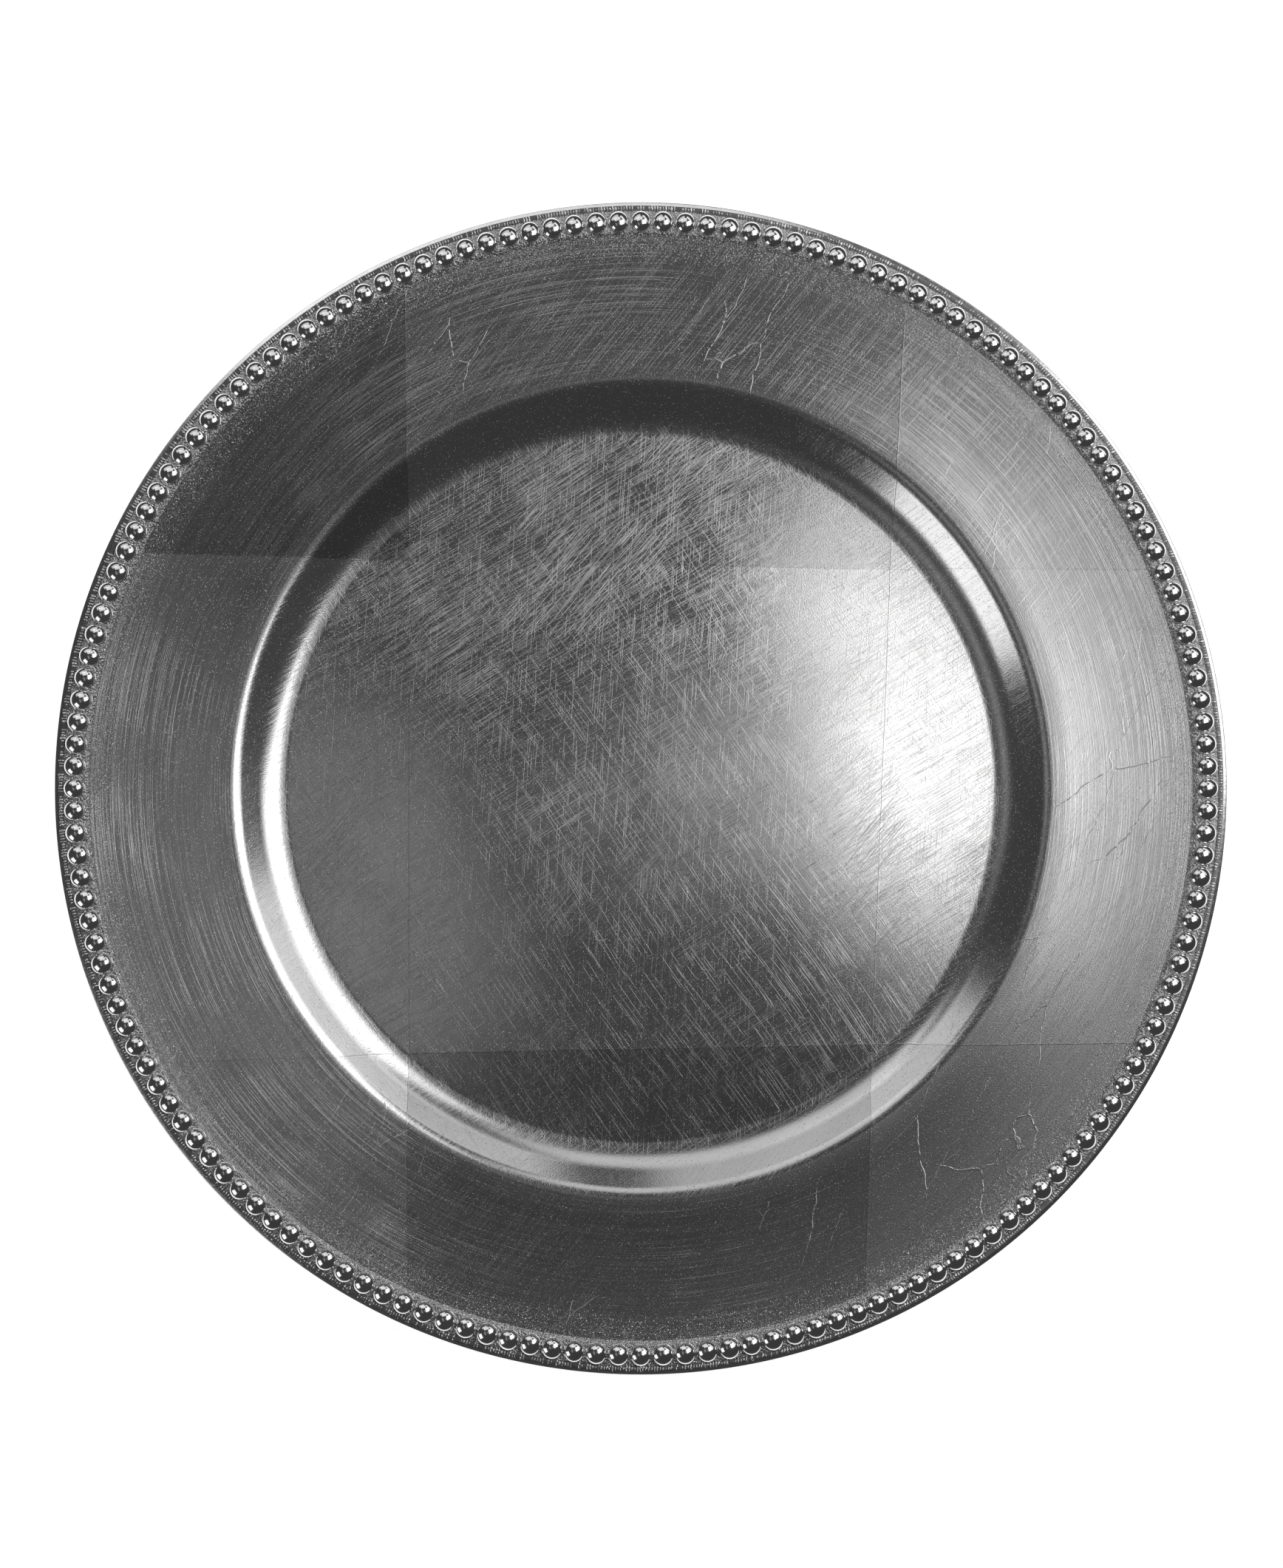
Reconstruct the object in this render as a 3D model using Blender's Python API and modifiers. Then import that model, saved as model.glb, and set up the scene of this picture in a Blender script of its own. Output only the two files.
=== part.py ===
"""A round beaded salver, 330 mm across.

A pressed sheet dish carries a bead border, a reeded edge and a rim wire around its rim, and a
foot ring under its well. All five pieces are soldered together and nothing moves.

Metres, +Z up. The origin is on the axis, in the plane that the foot ring stands on.
"""

import math

import bmesh
import bpy
from mathutils import Matrix

# Dish
SALVER_DIAMETER = 0.330  # over the rim wire
RIM_WIDTH = 0.0386  # shoulder of the well to the step down to the bead border's seat
RIM_SLOPE = math.radians(4.3)  # the least that the rim rises outwards
RIM_HOLLOW = 0.255  # from there it rises ever more outwards, on this hollow radius
SHOULDER_SLOPE = math.radians(9.0)  # slope where the shoulder ends
SHOULDER_EASE = 0.107  # and the round radius that eases it to the rim's least slope
BOOGE_WIDTH = 0.0166  # edge of the floor to the shoulder, measured flat
WELL_DEPTH = 0.0077  # edge of the floor to the shoulder
HEEL_RADIUS = 0.0060  # the floor turns up on this hollow radius
HEEL_SLOPE = math.radians(12.0)  # slope where the heel ends
BOOGE_FILLET = 0.0230  # hollow radius from there to the steepest part
SHOULDER_RADIUS = 0.0077  # round radius where the booge turns over into the rim
CROWN_RISE = 0.0020  # the floor is pressed up in the middle by this much
CROWN_FLAT = 0.030  # radius of the flat middle
SHEET_THICKNESS = 0.0015

# Bead border: a strip of half-round beads on a flat web
BEAD_PITCH = 0.00626
BEAD_SPACE = 0.0005  # bare web between two beads
BEAD_WIDTH = 0.0061  # across the strip
BEAD_RISE = 0.0029  # a bead's own height
WEB_MARGIN = 0.0001  # web showing on each side of the beads
WEB_THICKNESS = 0.0009
BEAD_ROOT = 0.0003  # how far a bead starts below the web's top
SEAT_DEPTH = 0.0006  # the seat is pressed this far below the rim

# Reeded edge
REED_WIDTH = 0.0007
REED_HEIGHT = 0.0015
REED_FALL = 0.0008  # its top falls by this much towards the beads

# Rim wire: a rebate carries the reeded edge, and a round lip stands outside it
WIRE_WIDTH = 0.0022
WIRE_HEIGHT = 0.0037
WIRE_CORNER = 0.0009
LIP_WIDTH = 0.0011
LIP_RISE = 0.0015  # the lip's top above the bead border's seat

# Foot ring
FOOT_INSET = 0.0045  # its outer face to the start of the booge
FOOT_WIDTH = 0.0030
FOOT_HEIGHT = 0.0020
FOOT_CORNER = 0.0004

SEAM_GAP = 0.0003  # solder seam between two pieces
FILLET_LIMIT = 0.98  # share of the largest hollow radius that the booge has room for

# Facets
ROUND_STEPS = 80
RIM_STEPS = 3
EASE_STEPS = 2
CROWN_STEPS = 5
HEEL_STEPS = 2
FILLET_STEPS = 4
SHOULDER_STEPS = 3
CORNER_STEPS = 2
BEAD_SIDES = 8
BEAD_RINGS = 4
MERGE_DISTANCE = 0.00001

QUARTER = math.pi / 2

# Radii, from the outside in
outer_radius = SALVER_DIAMETER / 2
wire_inner = outer_radius - WIRE_WIDTH
sheet_edge = wire_inner - SEAM_GAP
lip_inner = outer_radius - LIP_WIDTH
reed_outer = lip_inner - SEAM_GAP
reed_inner = reed_outer - REED_WIDTH
web_outer = reed_inner - SEAM_GAP
web_inner = web_outer - BEAD_WIDTH - 2 * WEB_MARGIN
bead_circle = (web_outer + web_inner) / 2
seat_inner = web_inner - SEAM_GAP
step_radius = seat_inner - SEAT_DEPTH
shoulder_radius = step_radius - RIM_WIDTH
base_radius = shoulder_radius - BOOGE_WIDTH
foot_outer = base_radius - FOOT_INSET

# Heights, from the table up
floor_edge = FOOT_HEIGHT + SEAM_GAP + SHEET_THICKNESS
shoulder_top = floor_edge + WELL_DEPTH
ease_width = SHOULDER_EASE * (math.sin(SHOULDER_SLOPE) - math.sin(RIM_SLOPE))
ease_top = shoulder_top + SHOULDER_EASE * (math.cos(RIM_SLOPE) - math.cos(SHOULDER_SLOPE))
rim_slope_out = math.asin(math.sin(RIM_SLOPE) + (RIM_WIDTH - ease_width) / RIM_HOLLOW)
rim_top = ease_top + RIM_HOLLOW * (math.cos(RIM_SLOPE) - math.cos(rim_slope_out))
seat_top = rim_top - SEAT_DEPTH
web_bottom = seat_top + SEAM_GAP
web_top = web_bottom + WEB_THICKNESS


def arc(centre, radius, start, end, steps):
    """Points (r, z) round a centre, from one angle to another."""
    angles = [start + (end - start) * i / steps for i in range(steps + 1)]
    return [(centre[0] + radius * math.cos(a), centre[1] + radius * math.sin(a)) for a in angles]


def booge_points():
    """The S-shaped wall of the well, from the shoulder down to the edge of the floor.

    A round shoulder and a hollow fillet, joined by the straight line that touches both, and a
    tighter heel where the floor turns up.
    """
    shoulder = SHOULDER_RADIUS
    sine, cosine = math.sin(HEEL_SLOPE), math.cos(HEEL_SLOPE)
    heel_end = (base_radius + HEEL_RADIUS * sine, floor_edge + HEEL_RADIUS * (1 - cosine))
    round_centre = (
        shoulder_radius + shoulder * math.sin(SHOULDER_SLOPE),
        shoulder_top - shoulder * math.cos(SHOULDER_SLOPE),
    )
    across, rise = round_centre[0] - heel_end[0], round_centre[1] - heel_end[1]
    bend = max(2 * (shoulder + rise * cosine - across * sine), MERGE_DISTANCE)
    room = (across**2 + rise**2 - shoulder**2) / bend
    fillet = min(BOOGE_FILLET, FILLET_LIMIT * room)
    hollow_centre = (heel_end[0] - fillet * sine, heel_end[1] + fillet * cosine)
    across, rise = round_centre[0] - hollow_centre[0], round_centre[1] - hollow_centre[1]
    touch = math.asin((shoulder + fillet) / math.hypot(across, rise))
    steepest = math.atan2(rise, across) + touch

    over = arc(round_centre, shoulder, QUARTER + SHOULDER_SLOPE, QUARTER + steepest, SHOULDER_STEPS)
    under = arc(hollow_centre, fillet, steepest - QUARTER, HEEL_SLOPE - QUARTER, FILLET_STEPS)
    heel_centre = (base_radius, floor_edge + HEEL_RADIUS)
    heel = arc(heel_centre, HEEL_RADIUS, HEEL_SLOPE - QUARTER, -QUARTER, HEEL_STEPS)
    return over + under + heel[1:]


def rim_points():
    """The rim, from the step at the beads in to the shoulder, which booge_points adds."""
    ease_radius = shoulder_radius + ease_width
    hollow_centre = (
        ease_radius - RIM_HOLLOW * math.sin(RIM_SLOPE),
        ease_top + RIM_HOLLOW * math.cos(RIM_SLOPE),
    )
    round_centre = (
        ease_radius + SHOULDER_EASE * math.sin(RIM_SLOPE),
        ease_top - SHOULDER_EASE * math.cos(RIM_SLOPE),
    )
    hollow = arc(hollow_centre, RIM_HOLLOW, rim_slope_out - QUARTER, RIM_SLOPE - QUARTER, RIM_STEPS)
    ease = arc(round_centre, SHOULDER_EASE, QUARTER + RIM_SLOPE, QUARTER + SHOULDER_SLOPE, EASE_STEPS)
    return hollow + ease[1:-1]


def floor_points():
    """The crowned floor, from its edge, which booge_points adds, in to the flat middle."""
    points = []
    for i in range(1, CROWN_STEPS + 1):
        share = i / CROWN_STEPS
        rise = CROWN_RISE * (1 - math.cos(math.pi * share)) / 2
        points.append((base_radius + (CROWN_FLAT - base_radius) * share, floor_edge + rise))
    return points + [(0.0, floor_edge + CROWN_RISE)]


def new_material(name, color, roughness, metallic):
    """A plain metal finish."""
    material = bpy.data.materials.new(name)
    material.use_nodes = True
    shader = material.node_tree.nodes["Principled BSDF"]
    shader.inputs["Base Color"].default_value = (*color, 1.0)
    shader.inputs["Roughness"].default_value = roughness
    shader.inputs["Metallic"].default_value = metallic
    return material


def turned(name, section, closed, steps):
    """An object that turns a section (r, z) about the Z axis.

    The section runs down its outer side, so that the faces point outwards.
    """
    mesh = bpy.data.meshes.new(name)
    verts = [(r, 0.0, z) for r, z in section]
    edges = [(i, i + 1) for i in range(len(verts) - 1)]
    if closed:
        edges.append((len(verts) - 1, 0))
    mesh.from_pydata(verts, edges, [])
    piece = bpy.data.objects.new(name, mesh)
    screw = piece.modifiers.new("turn", "SCREW")
    screw.steps = steps
    screw.render_steps = steps
    screw.use_smooth_shade = True
    screw.use_merge_vertices = True
    screw.merge_threshold = MERGE_DISTANCE
    return piece


def finish(piece, material):
    """Puts a piece in the salver's collection and gives it its metal."""
    piece.data.materials.append(material)
    piece.parent = salver
    collection.objects.link(piece)


def make_dish():
    """The pressed sheet: floor, booge, rim and the sunk seat for the bead border."""
    seat = [(sheet_edge, seat_top), (seat_inner, seat_top)]
    section = seat + rim_points() + booge_points() + floor_points()
    piece = turned("dish", section, False, ROUND_STEPS)
    wall = piece.modifiers.new("sheet", "SOLIDIFY")
    wall.thickness = SHEET_THICKNESS
    wall.offset = 1.0
    wall.use_even_offset = True
    finish(piece, new_material("leafed_sheet", (0.78, 0.77, 0.75), 0.32, 1.0))


def bead_domes(count):
    """Half-round beads in a ring, each flat underneath and standing in the web."""
    mesh = bpy.data.meshes.new("bead_domes")
    domes = bmesh.new()
    step = 2 * math.pi / count
    bead_length = bead_circle * step - BEAD_SPACE
    shape = Matrix.Diagonal((BEAD_WIDTH / 2, bead_length / 2, BEAD_RISE, 1.0))
    place = Matrix.Translation((bead_circle, 0.0, web_top - BEAD_ROOT))
    for i in range(count):
        turn = Matrix.Rotation((i + 0.5) * step, 4, "Z")
        bmesh.ops.create_uvsphere(
            domes,
            u_segments=BEAD_SIDES,
            v_segments=BEAD_RINGS,
            radius=1.0,
            matrix=turn @ place @ shape,
        )
    cut = bmesh.ops.bisect_plane(
        domes,
        geom=domes.verts[:] + domes.edges[:] + domes.faces[:],
        dist=MERGE_DISTANCE,
        plane_co=(0.0, 0.0, web_top - BEAD_ROOT),
        plane_no=(0.0, 0.0, 1.0),
        clear_inner=True,
    )
    rims = [item for item in cut["geom_cut"] if isinstance(item, bmesh.types.BMEdge)]
    bmesh.ops.holes_fill(domes, edges=rims, sides=0)
    bmesh.ops.recalc_face_normals(domes, faces=domes.faces[:])
    domes.to_mesh(mesh)
    domes.free()
    guide = bpy.data.objects.new("bead_domes", mesh)
    guide.hide_render = True
    guide.display_type = "WIRE"
    cutters.objects.link(guide)
    return guide


def make_bead_border():
    """The beaded strip: one closed ring of beads on their web."""
    count = round(2 * math.pi * bead_circle / BEAD_PITCH)
    web = [(web_outer, web_top), (web_outer, web_bottom), (web_inner, web_bottom), (web_inner, web_top)]
    piece = turned("bead_border", web, True, count)
    join = piece.modifiers.new("beads", "BOOLEAN")
    join.operation = "UNION"
    join.solver = "EXACT"
    join.object = bead_domes(count)
    finish(piece, new_material("leafed_beads", (0.78, 0.77, 0.75), 0.28, 1.0))


def make_reeded_edge():
    """The narrow moulding outside the beads, whose top falls towards them."""
    top = web_bottom + REED_HEIGHT
    section = [
        (reed_outer, top),
        (reed_outer, web_bottom),
        (reed_inner, web_bottom),
        (reed_inner, top - REED_FALL),
    ]
    piece = turned("reeded_edge", section, True, ROUND_STEPS)
    finish(piece, new_material("leafed_reeding", (0.78, 0.77, 0.75), 0.30, 1.0))


def make_rim_wire():
    """The wire soldered round the sheet's edge, with its rebate level with the seat."""
    top = seat_top + LIP_RISE
    bottom = top - WIRE_HEIGHT
    corner = outer_radius - WIRE_CORNER
    upper = arc((corner, top - WIRE_CORNER), WIRE_CORNER, QUARTER, 0.0, CORNER_STEPS)
    lower = arc((corner, bottom + WIRE_CORNER), WIRE_CORNER, 0.0, -QUARTER, CORNER_STEPS)
    inside = [(wire_inner, bottom), (wire_inner, seat_top), (lip_inner, seat_top), (lip_inner, top)]
    piece = turned("rim_wire", upper + lower + inside, True, ROUND_STEPS)
    finish(piece, new_material("leafed_wire", (0.78, 0.77, 0.75), 0.30, 1.0))


def make_foot_ring():
    """The ring soldered under the floor, which the salver stands on."""
    foot_inner = foot_outer - FOOT_WIDTH
    section = [
        (foot_outer, FOOT_HEIGHT),
        (foot_outer, FOOT_CORNER),
        (foot_outer - FOOT_CORNER, 0.0),
        (foot_inner + FOOT_CORNER, 0.0),
        (foot_inner, FOOT_CORNER),
        (foot_inner, FOOT_HEIGHT),
    ]
    piece = turned("foot_ring", section, True, ROUND_STEPS)
    finish(piece, new_material("lacquered_foot", (0.55, 0.54, 0.52), 0.45, 1.0))


for old in list(bpy.data.objects):
    bpy.data.objects.remove(old, do_unlink=True)

collection = bpy.data.collections.new("beaded_salver")
bpy.context.scene.collection.children.link(collection)
cutters = bpy.data.collections.new("guides")
bpy.context.scene.collection.children.link(cutters)
salver = bpy.data.objects.new("salver", None)
collection.objects.link(salver)

make_dish()
make_bead_border()
make_reeded_edge()
make_rim_wire()
make_foot_ring()
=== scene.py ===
import math

import bmesh
import bpy
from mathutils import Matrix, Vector


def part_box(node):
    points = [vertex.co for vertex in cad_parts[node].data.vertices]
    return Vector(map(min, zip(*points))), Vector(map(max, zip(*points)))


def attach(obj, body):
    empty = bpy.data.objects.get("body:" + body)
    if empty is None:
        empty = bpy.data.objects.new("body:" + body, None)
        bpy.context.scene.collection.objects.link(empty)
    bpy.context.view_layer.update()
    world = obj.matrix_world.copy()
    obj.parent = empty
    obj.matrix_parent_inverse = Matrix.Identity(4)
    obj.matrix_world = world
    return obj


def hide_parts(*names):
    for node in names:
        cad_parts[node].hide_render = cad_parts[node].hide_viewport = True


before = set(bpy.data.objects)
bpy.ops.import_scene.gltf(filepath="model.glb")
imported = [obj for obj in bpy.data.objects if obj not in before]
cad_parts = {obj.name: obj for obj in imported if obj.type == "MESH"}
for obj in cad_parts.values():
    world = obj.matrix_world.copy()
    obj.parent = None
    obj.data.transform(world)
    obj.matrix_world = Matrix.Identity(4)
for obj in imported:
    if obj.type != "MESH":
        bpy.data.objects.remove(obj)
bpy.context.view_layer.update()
scene = bpy.context.scene

# ---------------------------------------------------------------------------------------------
# The table, the camera and the studio light
# The salver lies on a white lit table. The camera looks straight down from under a metre, and
# softboxes stand round it at all heights, because rubbed leaf mirrors what stands around it.
# ---------------------------------------------------------------------------------------------
CAMERA_HEIGHT = 0.80
VIEW_HEIGHT = 0.4410  # what the frame's long side covers at the height of the rim wire
CAMERA_ACROSS = 0.0002
CAMERA_ALONG = 0.00125
SENSOR = 36.0
LAMP_DISTANCE = 0.56
TABLE_SIZE = 6.0
TABLE_WHITE = 0.92
TABLE_ROUGHNESS = 0.9
TABLE_GLOW = 0.80
ROOM_GREY = 0.043  # what the leaf mirrors where no lamp stands
ROOM_SEEN = 0.80  # the pale wall behind the table


def node(tree, kind, inputs=None, **settings):
    """Adds a node: its settings by name, its inputs each a plain value or a socket to link."""
    made = tree.nodes.new(kind)
    for name, value in settings.items():
        setattr(made, name, value)
    for key, value in (inputs or {}).items():
        if isinstance(value, bpy.types.NodeSocket):
            tree.links.new(value, made.inputs[key])
        else:
            made.inputs[key].default_value = value
    return made


def new_material(name):
    """A material, its node tree and its Principled shader."""
    material = bpy.data.materials.new(name)
    material.use_nodes = True
    tree = material.node_tree
    return material, tree, tree.nodes["Principled BSDF"]


def softbox(name, azimuth, elevation, width, height, power):
    """A soft lamp that faces the salver, from a compass angle and a height above the table."""
    turn, lift = math.radians(azimuth), math.radians(elevation)
    out = math.cos(lift)
    place = Vector((out * math.cos(turn), out * math.sin(turn), math.sin(lift)))
    lamp = bpy.data.lights.new(name, "AREA")
    lamp.shape = "RECTANGLE"
    lamp.size = width
    lamp.size_y = height
    lamp.energy = power
    box = bpy.data.objects.new(name, lamp)
    box.location = place * LAMP_DISTANCE
    box.rotation_euler = (-place).to_track_quat("-Z", "Y").to_euler()
    box.visible_camera = False
    scene.collection.objects.link(box)


table_mesh = bpy.data.meshes.new("table")
table_shape = bmesh.new()
bmesh.ops.create_grid(table_shape, x_segments=1, y_segments=1, size=TABLE_SIZE / 2)
table_shape.to_mesh(table_mesh)
table_shape.free()
table = bpy.data.objects.new("table", table_mesh)
scene.collection.objects.link(table)
table_white, _, shader = new_material("table_white")
shader.inputs["Base Color"].default_value = (TABLE_WHITE, TABLE_WHITE, TABLE_WHITE, 1)
shader.inputs["Roughness"].default_value = TABLE_ROUGHNESS
shader.inputs["Specular IOR Level"].default_value = 0.0
shader.inputs["Emission Color"].default_value = (1, 1, 1, 1)
shader.inputs["Emission Strength"].default_value = TABLE_GLOW
table_mesh.materials.append(table_white)

room = bpy.data.worlds.new("room")
room.use_nodes = True
room_tree = room.node_tree
seen = node(room_tree, "ShaderNodeLightPath").outputs["Is Camera Ray"]
glow = {"Value": seen, "To Min": ROOM_GREY, "To Max": ROOM_SEEN}
glow = node(room_tree, "ShaderNodeMapRange", glow).outputs["Result"]
wall = room_tree.nodes["Background"]
wall.inputs["Color"].default_value = (1, 1, 1, 1)
room_tree.links.new(glow, wall.inputs["Strength"])
scene.world = room
scene.view_settings.view_transform = "Standard"

softbox("key", 22, 57, 0.35, 0.35, 0.62)
softbox("key_upper", 350, 69, 0.16, 0.12, 0.041)
softbox("overhead", 0, 82, 0.12, 0.14, 0.0135)
softbox("top", 105, 51, 0.46, 0.24, 0.26)
softbox("top_low", 120, 31, 0.50, 0.20, 0.19)
softbox("right_low", 45, 33, 0.60, 0.12, 0.21)
softbox("left_low", 215, 26, 0.27, 0.24, 0.25)
softbox("left_high", 200, 69, 0.26, 0.12, 0.020)

wire_low, wire_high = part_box("rim_wire")
camera_data = bpy.data.cameras.new("camera")
camera_data.sensor_fit = "AUTO"
camera_data.sensor_width = SENSOR
camera_data.lens = SENSOR * (CAMERA_HEIGHT - wire_high.z) / VIEW_HEIGHT
camera = bpy.data.objects.new("camera", camera_data)
camera.location = (CAMERA_ACROSS, CAMERA_ALONG, CAMERA_HEIGHT)
scene.collection.objects.link(camera)
scene.camera = camera

# ---------------------------------------------------------------------------------------------
# Dish
# A disc of sheet, pressed to a slightly crowned floor, a curved booge and a broad hollow rim,
# with a sunk seat for the beads. Silver leaf is laid on it in squares and rubbed down by hand.
# ---------------------------------------------------------------------------------------------
SHEET = 0.0015
RIM_SLOPE = math.radians(4.0)
RIM_HOLLOW = 0.275
RIM_WIDTH = 0.0386
SHOULDER_SLOPE = math.radians(7.0)
SHOULDER_EASE = 0.107
BOOGE_WIDTH = 0.0160
HEEL_RADIUS = 0.0060
HEEL_SLOPE = math.radians(12.0)
BOOGE_FILLET = 0.0180
SHOULDER = 0.0077
SEAT_STEP = 0.0006
CROWN_RISE = 0.0020
CROWN_FLAT = 0.030
SHEET_EDGE_ROUND = 0.0003
SEAM = 0.0003
WEB_WIDTH = 0.0063
TURN_STEPS = 360
EASE_STEPS = 8
QUARTER = math.pi / 2
LEAF_GREY = 0.84
LEAF_ROUGHNESS = 0.170
MARK_ROUGHNESS = 0.20
ROUGHEST = 0.6
FLOOR_SPREAD = 0.55  # the rubbing runs round the axis, so reflections spread along the radius
RIM_SPREAD = 0.88
RUB_TURN = 0.25
LAP_LEFT, LAP_RIGHT, LAP_TOP, LAP_BOTTOM = -0.0664, 0.0690, 0.0640, -0.0745
LAP_LEAN_RIGHT, LAP_LEAN_TOP, LAP_LEAN_BOTTOM = 0.040, -0.017, 0.020
LAP_LINE = 0.00022
LAP_TEAR = 0.0007
TOP_TONES = (0.62, 0.85, 0.97)  # the squares' tones, from the left; the middle row's are 1
BOTTOM_TONES = (0.95, 0.74, 0.92)
STROKE_WIDTH = 0.00026
STROKE_FADE = 0.08
RING_STROKE_RADIUS = 0.135  # where the strokes round the axis have their full length
SPECK = 0.00036
RELIEF = 0.00006

dish_low, dish_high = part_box("dish")
floor_edge = dish_low.z + SHEET
sheet_edge = dish_high.x
rim_top = dish_high.z
seat_top = rim_top - SEAT_STEP
web_outer = sheet_edge + 0.0001
seat_inner = web_outer - WEB_WIDTH - SEAM
step_radius = seat_inner - SEAT_STEP
shoulder_radius = step_radius - RIM_WIDTH
base_radius = shoulder_radius - BOOGE_WIDTH
ease_width = SHOULDER_EASE * (math.sin(SHOULDER_SLOPE) - math.sin(RIM_SLOPE))
rim_slope_out = math.asin(math.sin(RIM_SLOPE) + (RIM_WIDTH - ease_width) / RIM_HOLLOW)
ease_top = rim_top - RIM_HOLLOW * (math.cos(RIM_SLOPE) - math.cos(rim_slope_out))
shoulder_top = ease_top - SHOULDER_EASE * (math.cos(RIM_SLOPE) - math.cos(SHOULDER_SLOPE))


def arc(centre, radius, start, end, steps):
    """Points (r, z) round a centre, from one angle to another."""
    angles = [start + (end - start) * i / steps for i in range(steps + 1)]
    return [(centre[0] + radius * math.cos(a), centre[1] + radius * math.sin(a)) for a in angles]


def dish_run(depth, rim_steps, booge_steps, floor_steps):
    """The dish's section from the rim's step in to the axis, at a depth below its top face."""
    ease_radius = shoulder_radius + ease_width
    rim_centre = (
        ease_radius - RIM_HOLLOW * math.sin(RIM_SLOPE),
        ease_top + RIM_HOLLOW * math.cos(RIM_SLOPE),
    )
    ease_centre = (
        ease_radius + SHOULDER_EASE * math.sin(RIM_SLOPE),
        ease_top - SHOULDER_EASE * math.cos(RIM_SLOPE),
    )
    round_centre = (
        shoulder_radius + SHOULDER * math.sin(SHOULDER_SLOPE),
        shoulder_top - SHOULDER * math.cos(SHOULDER_SLOPE),
    )
    heel_centre = (base_radius, floor_edge + HEEL_RADIUS)
    hollow_centre = (
        base_radius + (HEEL_RADIUS - BOOGE_FILLET) * math.sin(HEEL_SLOPE),
        floor_edge + HEEL_RADIUS + (BOOGE_FILLET - HEEL_RADIUS) * math.cos(HEEL_SLOPE),
    )
    across, rise = round_centre[0] - hollow_centre[0], round_centre[1] - hollow_centre[1]
    touch = math.asin((SHOULDER + BOOGE_FILLET) / math.hypot(across, rise))
    steepest = math.atan2(rise, across) + touch
    half = booge_steps // 2
    rim_turn = (rim_slope_out - QUARTER, RIM_SLOPE - QUARTER)
    rim = arc(rim_centre, RIM_HOLLOW + depth, *rim_turn, rim_steps)
    ease_turn = (QUARTER + RIM_SLOPE, QUARTER + SHOULDER_SLOPE)
    ease = arc(ease_centre, SHOULDER_EASE - depth, *ease_turn, EASE_STEPS)
    over = arc(round_centre, SHOULDER - depth, QUARTER + SHOULDER_SLOPE, QUARTER + steepest, half)
    under = arc(hollow_centre, BOOGE_FILLET + depth, steepest - QUARTER, HEEL_SLOPE - QUARTER, half)
    heel = arc(heel_centre, HEEL_RADIUS + depth, HEEL_SLOPE - QUARTER, -QUARTER, EASE_STEPS)[1:]
    floor = []
    for i in range(1, floor_steps + 1):
        share = i / floor_steps
        crown = CROWN_RISE * (1 - math.cos(math.pi * share)) / 2
        floor.append((base_radius + (CROWN_FLAT - base_radius) * share, floor_edge + crown - depth))
    middle = [(CROWN_FLAT / 2, floor[-1][1]), (0.0, floor[-1][1])]
    return rim + ease[1:-1] + over + under + heel + floor + middle


def turned(name, section, steps, closed=True):
    """A solid turned about Z from a section (r, z) that runs down its outer side."""
    shape = bmesh.new()
    ring = [shape.verts.new((r, 0.0, z)) for r, z in section]
    pairs = list(zip(ring, ring[1:] + ring[:1])) if closed else list(zip(ring, ring[1:]))
    edges = [shape.edges.new(pair) for pair in pairs]
    bmesh.ops.spin(
        shape, geom=ring + edges, cent=(0, 0, 0), axis=(0, 0, 1), angle=2 * math.pi, steps=steps
    )
    bmesh.ops.remove_doubles(shape, verts=shape.verts, dist=1e-6)
    bmesh.ops.recalc_face_normals(shape, faces=shape.faces)
    mesh = bpy.data.meshes.new(name)
    shape.to_mesh(mesh)
    shape.free()
    mesh.shade_smooth()
    mesh.set_sharp_from_angle(angle=math.radians(35))
    piece = bpy.data.objects.new(name, mesh)
    scene.collection.objects.link(piece)
    return piece


def maths(tree, operation, *values):
    """A Math node's result from values or sockets."""
    return node(tree, "ShaderNodeMath", dict(enumerate(values)), operation=operation).outputs[0]


def vectors(tree, operation, *values):
    """A Vector Math node's result from vectors or sockets."""
    given = dict(enumerate(values))
    return node(tree, "ShaderNodeVectorMath", given, operation=operation).outputs[0]


def scaled(tree, vector, scale):
    """A vector times a number."""
    sizes = {0: vector, "Scale": scale}
    return node(tree, "ShaderNodeVectorMath", sizes, operation="SCALE").outputs[0]


def length_of(tree, vector):
    """A vector's length."""
    return node(tree, "ShaderNodeVectorMath", {0: vector}, operation="LENGTH").outputs["Value"]


def fade(tree, value, low, high):
    """0 below low, 1 above high, and smooth between them."""
    sizes = {"Value": value, "From Min": low, "From Max": high}
    faded = node(tree, "ShaderNodeMapRange", sizes, interpolation_type="SMOOTHSTEP")
    return faded.outputs["Result"]


def blend(tree, share, first, second):
    """A number between first and second."""
    return node(tree, "ShaderNodeMix", {"Factor": share, "A": first, "B": second}).outputs["Result"]


def grain(tree, place, size, detail=2.0, shift=0.0):
    """Noise whose clumps are about one size across, in metres. Shift gives another draw of it."""
    sizes = {"Vector": place, "W": shift, "Scale": 1 / size, "Detail": detail}
    return node(tree, "ShaderNodeTexNoise", sizes, noise_dimensions="4D").outputs["Fac"]


def strokes(tree, place, turn, length, width, start, shift):
    """Straight rubbing strokes: long thin clumps of noise, turned about Z."""
    laid = {"Vector": place, "Rotation": (0, 0, math.radians(turn)), "Scale": (length, width, 1)}
    along = node(tree, "ShaderNodeMapping", laid, vector_type="TEXTURE").outputs["Vector"]
    return fade(tree, grain(tree, along, 1.0, 1.0, shift), start, start + STROKE_FADE)


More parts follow.
